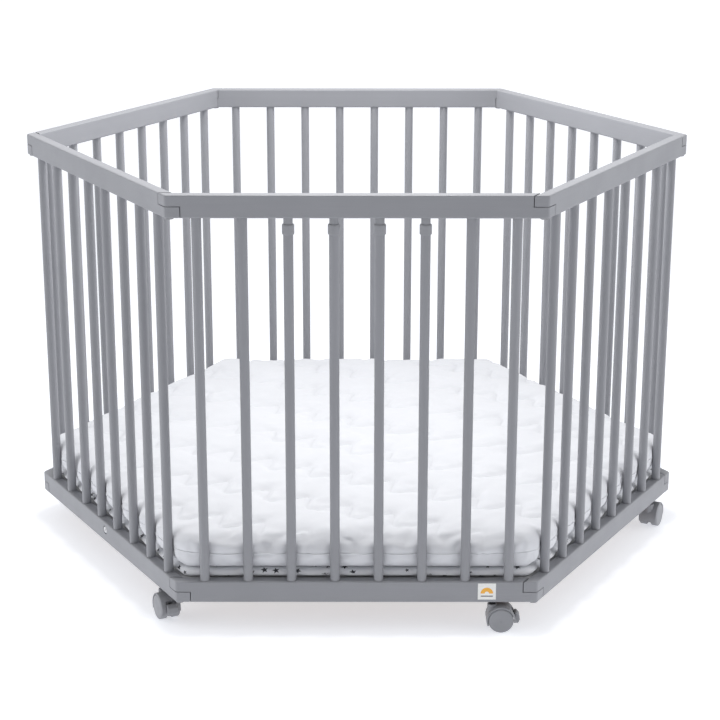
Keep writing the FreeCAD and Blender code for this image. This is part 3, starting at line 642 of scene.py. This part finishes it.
def press_on_bars(points, normals, press, bulge, reach):
    """Push a pad's side out against the bars, as far as the reach allows at each bar, so
    that it bulges between them."""
    turns = np.arange(6) * SIDE_TURN
    outs = np.outer(points[:, 0], np.sin(turns)) - np.outer(points[:, 1], np.cos(turns))
    turn, out = turns[np.argmax(outs, axis=1)], outs.max(1)
    along = points[:, 0] * np.cos(turn) + points[:, 1] * np.sin(turn)
    bar = np.clip(np.round(along / BAR_PITCH - 0.5) + 0.5, -3.5, 3.5)
    room = 1 - np.exp(-((along - bar * BAR_PITCH) / BAR_DENT) ** 2)
    fade = np.clip((BULGES_END - np.abs(along)) / BULGES_FADE, 0, 1)
    pushed = out + (press + bulge * room) * fade * upright_share(normals)
    step = np.minimum(pushed, reach + bulge * room * fade) - out
    points[:, 0] += step * np.sin(turn)
    points[:, 1] -= step * np.cos(turn)


def lumpy(points, over_x, over_y):
    """Soft lumps from crossed waves, each given as its pitch, its bend and the bend's pitch."""
    x, y = points[:, 0], points[:, 1]
    return np.prod([np.sin(along * pitch + bend * np.sin(across * sway)) for
                    along, across, (pitch, bend, sway) in ((x, y, over_x), (y, x, over_y))],
                   axis=0)


def lay_cloth_map(mesh):
    """A map in metres: seen from above on flat parts, round the side on upright ones."""
    layer = mesh.uv_layers.new(name="cloth")
    points, normals = points_of(mesh), normals_of(mesh)
    owners = np.zeros(len(mesh.loops), np.int32)
    mesh.loops.foreach_get("vertex_index", owners)
    totals = np.zeros(len(mesh.polygons), np.int32)
    mesh.polygons.foreach_get("loop_total", totals)
    face_of = np.repeat(np.arange(len(totals)), totals)
    facing = np.zeros((len(totals), 3))
    np.add.at(facing, face_of, normals[owners])
    facing /= np.linalg.norm(facing, axis=1)[:, None] + 1e-12
    upright = np.abs(facing[:, 2]) < 0.6
    side = np.round((np.degrees(np.arctan2(facing[:, 1], facing[:, 0])) + 90) / 60)
    turn = np.radians(60 * side)[face_of]
    place = points[owners]
    around = place[:, 0] * np.cos(turn) + place[:, 1] * np.sin(turn)
    flat = np.where(upright[face_of][:, None], np.stack([around, place[:, 2]], 1),
                    place[:, :2])
    layer.data.foreach_set("uv", flat.astype(np.float32).ravel())


# ---------- quilting

# One step of the quilting, as shares of the wave across and of the drop towards the front:
# a long gentle rise, then a tight bend that comes forward.
STEP = ((0.0, 0.0), (0.2, 0.11), (0.42, 0.26), (0.66, 0.46), (0.83, 0.55), (0.9, 0.3),
        (0.86, -0.16), (0.82, -0.58), (0.86, -0.92))


def quilting_rows(settings, reach):
    """Points along every sewn line, as smooth curves through repeated steps."""
    count = int(2 * reach / settings.row) + 3
    steps = int(reach / settings.wave) + 2
    return [smooth_run(np.array(
        [((step + across) * settings.wave,
          row * settings.row + 0.3 * settings.row + (forward - step) * settings.drop)
         for step in range(-steps, steps + 1) for across, forward in STEP]), 5)
        for row in range(-count, count + 1)]


def smooth_run(corners, parts):
    """A smooth line through the corners, with a few points between each two."""
    before, start = corners[:-3], corners[1:-2]
    end, after = corners[2:-1], corners[3:]
    pieces = []
    for part in range(parts):
        t = part / parts
        pieces.append(0.5 * (2 * start + (end - before) * t
                             + (2 * before - 5 * start + 4 * end - after) * t ** 2
                             + (3 * start - before - 3 * end + after) * t ** 3))
    return np.stack(pieces, 1).reshape(-1, 2)


def distance_to_lines(points, rows, reach):
    """How far each point is from the nearest sewn line, seen from above."""
    line = np.concatenate(rows)
    line = line[np.abs(line).max(1) < reach]
    tree = KDTree(len(line))
    for index, (x, y) in enumerate(line):
        tree.insert((x, y, 0.0), index)
    tree.balance()
    return np.array([tree.find((x, y, 0.0))[2] for x, y in points[:, :2]])


def clear_runs(rows, inside, gap=12 * MM, fewest=5):
    """Cut the lines where they leave the pad, and drop scraps of too few points."""
    runs = []
    for row in rows:
        keep = side_distance(np.c_[row, np.zeros(len(row))]) < inside
        run = []
        for point, kept in zip(row, keep):
            if kept and (not run or np.hypot(*(point - run[-1])) < gap):
                run.append(point)
                continue
            runs.append(np.array(run))
            run = [point] if kept else []
        runs.append(np.array(run))
    return [run for run in runs if len(run) >= fewest]


def drop_onto(surface, run, lift):
    """The points of a run, set down on a surface from above."""
    placed = []
    for x, y in run:
        hit, normal, _, _ = surface.ray_cast(Vector((x, y, 1.0)), Vector((0, 0, -1)))
        if hit is not None:
            placed.append(hit + normal * lift)
    return placed


def swell(piece, pinned, pressure, most):
    """Blow the cover up against its sewn lines, and cap how far it moves."""
    rest = points_of(piece.data)
    group = piece.vertex_groups.new(name="sewn")
    group.add([int(i) for i in np.nonzero(pinned)[0]], 1.0, "REPLACE")
    cloth = piece.modifiers.new("cover", "CLOTH")
    for name, setting in dict(
            quality=4, mass=0.25, tension_stiffness=18, compression_stiffness=18,
            shear_stiffness=8, bending_stiffness=0.6, shrink_min=-0.02, use_pressure=True,
            vertex_group_mass="sewn", uniform_pressure_force=pressure).items():
        setattr(cloth.settings, name, setting)
    cloth.settings.effector_weights.gravity = 0
    cloth.collision_settings.use_collision = False
    cloth.point_cache.frame_start, cloth.point_cache.frame_end = 1, SWELL_FRAMES
    scene = bpy.context.scene
    for step in range(1, SWELL_FRAMES + 1):
        scene.frame_set(step)
    mesh = settle(piece)
    scene.frame_set(1)
    moved = points_of(mesh) - rest
    far = np.linalg.norm(moved, axis=1)
    move_points(mesh, rest + moved * np.minimum(1.0, most / (far + 1e-9))[:, None])
    piece.vertex_groups.clear()
    return mesh


# ---------- node recipes

def geometry_group(name, inputs):
    """An empty recipe that turns one geometry into another, in a material."""
    return new_group(name, "GeometryNodeTree",
                     {"Geometry": "Geometry", **inputs, "Material": "Material"},
                     {"Geometry": "Geometry"})


def close_group(tree, given, result, geometry):
    """End a recipe: everything real, and in its material."""
    real = add(tree, "GeometryNodeRealizeInstances", {"Geometry": geometry})
    soft = add(tree, "GeometryNodeSetShadeSmooth", {"Geometry": real})
    fill(tree, result, {"Geometry": add(tree, "GeometryNodeSetMaterial", {
        "Geometry": soft, "Material": given["Material"]})})
    return tree


def round_wire(tree, line, radius, sides, caps=False):
    """A round wire or cord along a line."""
    ring = add(tree, "GeometryNodeCurvePrimitiveCircle", {"Resolution": sides,
                                                          "Radius": radius})
    return add(tree, "GeometryNodeCurveToMesh", {"Curve": line, "Profile Curve": ring,
                                                 "Fill Caps": caps})


def stitch_recipe():
    """A short thread at every stitch along a line."""
    tree, given, result = geometry_group("Stitches", {"Stitch": 0.004, "Thread": 0.0006})
    line = add(tree, "GeometryNodeMeshToCurve", {"Mesh": given["Geometry"]})
    stops = add(tree, "GeometryNodeCurveToPoints",
                {"Curve": line, "Length": given["Stitch"]}, mode="LENGTH")
    bead = add(tree, "GeometryNodeMeshIcoSphere", {"Radius": 0.5, "Subdivisions": 1})
    size = add(tree, "ShaderNodeCombineXYZ", {"X": given["Thread"], "Y": given["Thread"],
                                              "Z": times(tree, given["Stitch"], 0.78)})
    thread = add(tree, "GeometryNodeTransform", {"Geometry": bead, "Scale": size})
    sewn = add(tree, "GeometryNodeInstanceOnPoints",
               {"Points": stops, "Instance": thread, "Rotation": stops.outputs["Rotation"]})
    return close_group(tree, given, result, sewn)


def piping_recipe():
    """A round cord along a line."""
    tree, given, result = geometry_group("Piping", {"Width": 0.0024})
    line = add(tree, "GeometryNodeMeshToCurve", {"Mesh": given["Geometry"]})
    cord = round_wire(tree, line, times(tree, given["Width"], 0.5), 8)
    return close_group(tree, given, result, cord)


def spring_recipe():
    """A coil of round wire that stands on its lower end."""
    tree, given, result = geometry_group(
        "Spring", {"Turns": 7.0, "Coil": 0.0047, "Height": 0.027, "Wire": 0.00055,
                   "Place": "Vector"})
    coil = add(tree, "GeometryNodeCurveSpiral",
               {"Resolution": 22, "Rotations": given["Turns"], "Height": given["Height"],
                "Start Radius": given["Coil"], "End Radius": given["Coil"]})
    wire = round_wire(tree, coil, given["Wire"], 10, caps=True)
    placed = add(tree, "GeometryNodeTransform", {"Geometry": wire,
                                                 "Translation": given["Place"]})
    return close_group(tree, given, result, placed)


def star_recipe():
    """Five-pointed stars of two sizes scattered over a cloth and laid against it."""
    tree, given, result = geometry_group(
        "Stars", {"Spacing": 0.02, "Large": 0.0095, "Small": 0.0055, "Lift": 0.00012,
                  "Seed": 4})
    cloth, seed = given["Geometry"], given["Seed"]
    normal = add(tree, "GeometryNodeInputNormal")
    shown = maths(tree, "GREATER_THAN", axes_of(tree, normal)["Z"], -0.6)
    spots = add(tree, "GeometryNodeDistributePointsOnFaces",
                {"Mesh": cloth, "Distance Min": given["Spacing"], "Selection": shown,
                 "Density Max": 9000.0, "Seed": seed}, distribute_method="POISSON")
    star = add(tree, "GeometryNodeCurveStar", {"Points": 5, "Inner Radius": 0.21,
                                               "Outer Radius": 0.5})
    face = add(tree, "GeometryNodeFillCurve", {"Curve": star})
    chance = add(tree, "FunctionNodeRandomValue", {"Min": 0.0, "Max": 1.0, "Seed": seed},
                 data_type="FLOAT")
    large = maths(tree, "GREATER_THAN", chance.outputs[1], 0.45)
    size = add(tree, "ShaderNodeMix", {"Factor": large, "A": given["Small"],
                                       "B": given["Large"]})
    spin = add(tree, "FunctionNodeRandomValue", {"Min": 0.0, "Max": 6.283, "Seed": 11},
               data_type="FLOAT")
    turn = add(tree, "ShaderNodeCombineXYZ", {"Z": spin.outputs[1]})
    turned = add(tree, "FunctionNodeRotateRotation",
                 {"Rotation": spots.outputs["Rotation"], "Rotate By": turn},
                 rotation_space="LOCAL")
    scattered = add(tree, "GeometryNodeInstanceOnPoints",
                    {"Points": spots, "Instance": face, "Rotation": turned, "Scale": size})
    real = add(tree, "GeometryNodeRealizeInstances", {"Geometry": scattered})
    corners = add(tree, "GeometryNodeTriangulate", {"Mesh": real})
    fine = add(tree, "GeometryNodeSubdivideMesh", {"Mesh": corners, "Level": 1})
    nearest = add(tree, "GeometryNodeProximity", {0: cloth}, target_element="FACES")
    outward = add(tree, "GeometryNodeSampleNearestSurface",
                  {"Mesh": cloth, "Value": normal}, data_type="FLOAT_VECTOR")
    lift = add(tree, "ShaderNodeVectorMath", {0: outward.outputs["Value"],
                                              "Scale": given["Lift"]}, operation="SCALE")
    place = add(tree, "ShaderNodeVectorMath", {0: nearest.outputs["Position"], 1: lift})
    laid = add(tree, "GeometryNodeSetPosition", {"Geometry": fine, "Position": place})
    return close_group(tree, given, result, laid)


# ---------- operators

class PLAYPEN_OT_effects(bpy.types.Operator):
    """Make the shared surface effects that the finishes use"""
    bl_idname = "playpen.effects"
    bl_label = "Surface Effects"

    def execute(self, context):
        for make in (make_mottle_group, make_grain_group, make_edge_group,
                     make_knit_group, make_speckle_group):
            make()
        return {"FINISHED"}


class PLAYPEN_OT_paint(bpy.types.Operator):
    """Paint the rails, the bars, the battens and the beam"""
    bl_idname = "playpen.paint"
    bl_label = "Painted Wood"

    def execute(self, context):
        settings = context.scene.playpen_paint
        lying = [paint_material(f"painted_rail_{turn}", settings,
                                (0.0, 0.0, math.radians(turn))) for turn in (0, 60, 120)]
        standing = paint_material("painted_bar", settings, (0.0, math.radians(90), 0.0))
        for index, side in enumerate(SIDES):
            dress(lying[index % 3], f"top_rail_{side}", f"bottom_rail_{side}")
        dress(standing, *each("bars_{}", SIDES), *each("slip_bar_{}", SLIPS))
        dress(lying[0], "base_ledges", "support_beam")
        return {"FINISHED"}


class PLAYPEN_OT_hardware(bpy.types.Operator):
    """Finish the castors, caps, screws, stems and boards"""
    bl_idname = "playpen.hardware"
    bl_label = "Plastic, Metal and Board"

    def execute(self, context):
        settings = context.scene.playpen_hardware
        moulded = plastic_material("moulded_plastic", settings.plastic)
        zinc = metal_material("zinc_plate", settings.zinc, 0.34, 0.2)
        black = metal_material("blackened_steel", settings.black, 0.45, 0.3)
        for part in ("housing", "wheels", "brake"):
            dress(moulded, *each(f"castor_{part}_{{}}", SIDES))
        dress(moulded, *each("slip_cap_{}", SLIPS))
        dress(zinc, "corner_inserts", "ledge_screws", "beam_bolts")
        dress(metal_material("dull_zinc", settings.bolt, 0.48, 0.2), "corner_bolts")
        dress(black, "castor_stems")
        dress(board_material(settings.board), "base_board_left", "base_board_right")
        dress(sticker_material(), "label")
        return {"FINISHED"}


class PLAYPEN_OT_mattress(bpy.types.Operator):
    """Make the quilted mattress with its stitches and side seam"""
    bl_idname = "playpen.mattress"
    bl_label = "Mattress"

    def execute(self, context):
        settings = context.scene.playpen_mattress
        cloth = cloth_material("quilted_cotton", settings.cloth, 620.0)
        thread = thread_material("white_thread", settings.cloth)
        low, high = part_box("mattress")
        bottom, top = low.z + CLEARANCE, high.z - 1.5 * MM
        reach = high.x
        rows = quilting_rows(settings, reach)
        mattress = new_pad("mattress_cover", settings.apothem, settings.corner,
                           settings.edge, settings.under, bottom, top)
        even_cells(mattress, settings.cell)
        points = points_of(mattress.data)
        sewn = distance_to_lines(points, rows, reach + 0.05) < 0.7 * settings.cell
        resting = points[:, 2] < bottom + 4 * MM
        swell(mattress, (sewn & (points[:, 2] > top - 6 * MM)) | resting, 4.0,
              settings.swell)
        finer(mattress)
        self.sew(mattress.data, rows, settings, bottom, top, reach)
        clothe(mattress.data, cloth)
        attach(mattress, "mattress")
        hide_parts("mattress")
        surface = BVHTree.FromPolygons(
            [v.co for v in mattress.data.vertices],
            [p.vertices[:] for p in mattress.data.polygons])
        self.stitches(surface, rows, settings, thread)
        self.side_seam(surface, settings, cloth, (bottom + top) / 2)
        return {"FINISHED"}

    @staticmethod
    def sew(mesh, rows, settings, bottom, top, reach):
        """Press the sewn lines and the side seam in, and let the rest stand proud."""
        points, normals = points_of(mesh), normals_of(mesh)
        away = distance_to_lines(points, rows, reach + 0.05)
        upper = np.clip((points[:, 2] - bottom - 10 * MM) / (20 * MM), 0, 1)
        puff = PUFF * (1 - np.exp(-(away / PUFF_WIDTH) ** 1.5))
        line = settings.groove * np.exp(-(away / LINE_WIDTH) ** 2)
        middle = (bottom + top) / 2
        seam = np.exp(-((points[:, 2] - middle) / SEAM_WIDTH) ** 2) * upright_share(normals)
        wide = lumpy(points, (31, 1.3, 23), (27, 1.1, 19))
        small = lumpy(points, (83, 1.9, 37), (91, 1.6, 43))
        out = (puff - line + WIDE_LUMPS * wide + SMALL_LUMPS * small) * upper
        out -= SEAM_DEPTH * seam
        points += normals * out[:, None]
        press_on_bars(points, normals, 2 * MM, settings.bulge, BAR_REACH)
        points[:, 2] = np.maximum(points[:, 2], bottom)
        move_points(mesh, points)

    @staticmethod
    def stitches(surface, rows, settings, thread):
        """Set a row of stitches down along every sewn line."""
        runs = [drop_onto(surface, run, 0.1 * MM)
                for run in clear_runs(rows, settings.apothem - 14 * MM)]
        piece = grow("mattress_stitches", stitch_recipe(), path_mesh("sewn_lines", runs),
                     {"Stitch": settings.stitch, "Thread": settings.thread,
                      "Material": thread})
        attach(piece, "mattress")

    @staticmethod
    def side_seam(surface, settings, cloth, level):
        """Lay the cord of the side seam round the pad at one level."""
        run = [Vector((x, y, level)) for x, y in
               rounded_hexagon(settings.apothem + 40 * MM, settings.corner, 12)]
        placed = []
        for start, end in zip(run, run[1:] + run[:1]):
            parts = max(1, int((end - start).length / (9 * MM)))
            for part in range(parts):
                place = start.lerp(end, part / parts)
                inward = Vector((-place.x, -place.y, 0)).normalized()
                hit, normal, _, _ = surface.ray_cast(place, inward)
                if hit is not None:
                    placed.append(hit + normal * settings.piping * 0.15)
        piece = grow("mattress_side_seam", piping_recipe(),
                     path_mesh("side_line", [placed], closed=True),
                     {"Width": settings.piping, "Material": cloth})
        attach(piece, "mattress")


class PLAYPEN_OT_play_mat(bpy.types.Operator):
    """Make the thin play mat and print its stars"""
    bl_idname = "playpen.play_mat"
    bl_label = "Play Mat"

    def execute(self, context):
        settings = context.scene.playpen_mat
        cloth = cloth_material("printed_cotton", settings.cloth, 560.0)
        ink = thread_material("star_ink", settings.ink)
        low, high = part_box("play_mat")
        bottom, top = low.z + CLEARANCE, high.z - 0.6 * MM
        mat = new_pad("play_mat_pad", settings.apothem, settings.corner, settings.edge,
                      settings.edge, bottom, top)
        even_cells(mat, 7 * MM)
        points, normals = points_of(mat.data), normals_of(mat.data)
        beside = upright_share(normals)
        ripple = lumpy(points, (83, 2, 41), (77, 1.7, 37))
        points += normals * (1.1 * MM * ripple * beside)[:, None]
        upward = np.where(normals[:, 2] > 0, 1, 0) * (1 - beside)
        points[:, 2] -= upward * (0.35 * MM * (1 + ripple))
        over_rail = points[:, 2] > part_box("bottom_rail_front")[1].z + 1 * MM
        press_on_bars(points, normals, 2.5 * MM, 3 * MM * over_rail, RAIL_REACH)
        move_points(mat.data, points)
        clothe(mat.data, cloth)
        stars = grow("play_mat_stars", star_recipe(), mat.data.copy(),
                     {"Spacing": settings.spacing, "Large": settings.large_star,
                      "Small": settings.small_star, "Lift": 0.15 * MM, "Seed": 4,
                      "Material": ink})
        for piece in (mat, stars):
            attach(piece, "play_mat")
        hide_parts("play_mat")
        return {"FINISHED"}


class PLAYPEN_OT_springs(bpy.types.Operator):
    """Coil the springs under the caps of the bars that lift out"""
    bl_idname = "playpen.springs"
    bl_label = "Springs"

    def execute(self, context):
        settings = context.scene.playpen_springs
        steel = metal_material("spring_wire", context.scene.playpen_hardware.zinc, 0.3, 0.2)
        recipe = spring_recipe()
        for number in SLIPS:
            low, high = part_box(f"slip_spring_{number}")
            middle = (low + high) / 2
            height = high.z - low.z - settings.wire - 0.2 * MM
            foot = Vector((middle.x, middle.y, low.z + settings.wire / 2 + 0.1 * MM))
            spring = grow(f"slip_coil_{number}", recipe, bpy.data.meshes.new("empty"),
                          {"Turns": settings.turns, "Coil": settings.coil / 2,
                           "Height": height, "Wire": settings.wire / 2, "Place": foot,
                           "Material": steel})
            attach(spring, "root")
            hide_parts(f"slip_spring_{number}")
            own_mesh(spring)
        return {"FINISHED"}


class PLAYPEN_OT_stage(bpy.types.Operator):
    """Set the floor, the light and the camera"""
    bl_idname = "playpen.stage"
    bl_label = "Floor, Light and Camera"

    def execute(self, context):
        settings = context.scene.playpen_stage
        scene = context.scene
        self.floor(settings)
        self.dome(scene, settings)
        self.lamp(scene, settings)
        camera = bpy.data.cameras.new("camera")
        camera.lens, camera.sensor_width, camera.clip_end = settings.lens, 36.0, 200.0
        holder = bpy.data.objects.new("camera", camera)
        down, around, roll = settings.tilt
        turn = Euler((math.pi / 2 - down, 0.0, -around)).to_matrix()
        turn = turn @ Matrix.Rotation(roll, 3, "Z")
        holder.matrix_world = Matrix.Translation(settings.stand) @ turn.to_4x4()
        scene.collection.objects.link(holder)
        scene.camera = holder
        scene.view_settings.view_transform = "Standard"
        return {"FINISHED"}

    @staticmethod
    def floor(settings):
        """A wide plain floor that glows a little, so that it stays pale."""
        half = 60.0
        mesh = bpy.data.meshes.new("floor")
        mesh.from_pydata([(-half, -half, 0), (half, -half, 0), (half, half, 0),
                          (-half, half, 0)], [], [(0, 1, 2, 3)])
        material, tree, shader = new_material(
            "studio_floor", {"Roughness": 0.9, "Specular IOR Level": 0.1,
                             "Emission Strength": settings.glow,
                             "Emission Color": (0.94, 0.955, 1.0, 1.0)})
        place = add(tree, "ShaderNodeTexCoord").outputs["Object"]
        tint = clouded(tree, place, 3.0, settings.floor, 0.995, 1.005)
        fill(tree, shader, {"Base Color": tint})
        coat(mesh, material)
        new_piece("studio_floor", mesh)

    @staticmethod
    def lamp(scene, settings):
        """A round soft lamp over the middle of the pen."""
        lamp = bpy.data.lights.new("lamp", "AREA")
        lamp.shape, lamp.size = "DISK", 0.7
        lamp.energy = settings.lamp
        holder = bpy.data.objects.new("lamp", lamp)
        holder.location = (0.0, 0.0, settings.lamp_height)
        holder.visible_camera = False
        scene.collection.objects.link(holder)

    @staticmethod
    def dome(scene, settings):
        """A soft dome: strong overhead, a little from each flank, white behind."""
        world = bpy.data.worlds.new("studio")
        scene.world = world
        world.use_nodes = True
        tree = world.node_tree
        tree.nodes.clear()
        towards = axes_of(tree, add(tree, "ShaderNodeTexCoord").outputs["Generated"])
        above = maths(tree, "POWER", maths(tree, "MAXIMUM", towards["Z"], 0.0), 8.0)
        flank = maths(tree, "POWER", maths(tree, "ABSOLUTE", towards["X"]), 7.0)
        behind = maths(tree, "POWER", maths(tree, "MAXIMUM", towards["Y"], 0.0), 3.0)
        glow = plus(tree, times(tree, above, settings.zenith),
                    times(tree, flank, settings.flank))
        glow = plus(tree, plus(tree, glow, behind), settings.haze)
        seen = add(tree, "ShaderNodeLightPath").outputs["Is Camera Ray"]
        strength = add(tree, "ShaderNodeMix", {"Factor": seen, "A": glow, "B": 1.0})
        back = add(tree, "ShaderNodeBackground", {"Color": (0.985, 0.99, 1.0, 1.0),
                                                  "Strength": strength})
        add(tree, "ShaderNodeOutputWorld", {"Surface": back})


STEPS = ("effects", "stage", "paint", "hardware", "play_mat", "mattress", "springs")


class PLAYPEN_PT_panel(bpy.types.Panel):
    """Lists the steps that finish the playpen"""
    bl_idname = "PLAYPEN_PT_panel"
    bl_label = "Playpen"
    bl_space_type = "VIEW_3D"
    bl_region_type = "UI"
    bl_category = "Playpen"

    def draw(self, context):
        for step in STEPS:
            self.layout.operator(f"playpen.{step}")


GROUPS = {"paint": PlaypenPaint, "hardware": PlaypenHardware, "mattress": PlaypenMattress,
          "mat": PlaypenMat, "springs": PlaypenSprings, "stage": PlaypenStage}
CLASSES = (PLAYPEN_OT_effects, PLAYPEN_OT_stage, PLAYPEN_OT_paint, PLAYPEN_OT_hardware,
           PLAYPEN_OT_play_mat, PLAYPEN_OT_mattress, PLAYPEN_OT_springs, PLAYPEN_PT_panel)


def register():
    for name, group in GROUPS.items():
        bpy.utils.register_class(group)
        setattr(bpy.types.Scene, f"playpen_{name}", bpy.props.PointerProperty(type=group))
    for kind in CLASSES:
        bpy.utils.register_class(kind)


def unregister():
    for kind in reversed(CLASSES):
        bpy.utils.unregister_class(kind)
    for name, group in GROUPS.items():
        delattr(bpy.types.Scene, f"playpen_{name}")
        bpy.utils.unregister_class(group)


def main():
    register()
    for step in STEPS:
        getattr(bpy.ops.playpen, step)()


if __name__ == "__main__":
    main()
